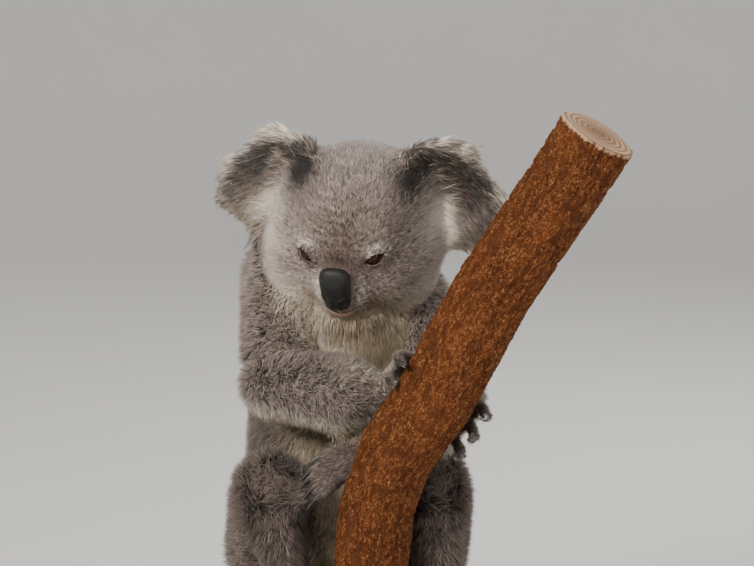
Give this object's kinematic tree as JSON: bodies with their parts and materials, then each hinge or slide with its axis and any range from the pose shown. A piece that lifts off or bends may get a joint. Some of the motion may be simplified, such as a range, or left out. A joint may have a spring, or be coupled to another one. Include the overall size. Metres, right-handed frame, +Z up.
{
  "type": "koala",
  "caption": "Life-size still model of a koala hugging a cut eucalyptus limb: grey woolly coat, white chest, fringed ears, tall nose pad and strong claws, on a display base with short rods.",
  "frame": {"origin": "centre of the round base's underside, on the surface that the model stands on", "axes": "+Z up; the koala's body faces -Y, its right side is towards -X; the upright limb leans up towards +X and -Y"},
  "size_m": [0.3904, 0.3724, 0.6247],
  "materials": {
    "coat": "dense woolly fur, salt-and-pepper grey-brown, cream to white below",
    "ear_coat": "long soft fringe, dark grey inside with white tufts",
    "nose_leather": "bare, finely pebbled, soft sheen",
    "eye_gloss": "glossy, reddish-brown iris with an upright slit pupil",
    "claw_horn": "smooth dark horn, satin",
    "skin": "bare skin of lids and lip, matt to moist",
    "bark": "flaking orange-brown eucalyptus bark",
    "board": "dark stained board, satin",
    "rod_steel": "brushed"
  },
  "bodies": {
    "root": {"perch_branch": "bark", "eye_right": "eye_gloss", "eye_left": "eye_gloss", "nose": "nose_leather", "head": "coat", "lower_jaw": "coat", "ear_right": "ear_coat", "ear_left": "ear_coat", "forearm_right": "coat", "upper_arm_right": "coat", "hand_right": "coat", "forearm_left": "coat", "upper_arm_left": "coat", "hand_left": "coat", "thigh_right": "coat", "shank_right": "coat", "foot_right": "coat", "thigh_left": "coat", "shank_left": "coat", "foot_left": "coat", "neck": "coat", "trunk": "coat", "stand_base": "board", "stand_rod_1": "rod_steel", "stand_rod_2": "rod_steel"}
  },
  "joints": []
}
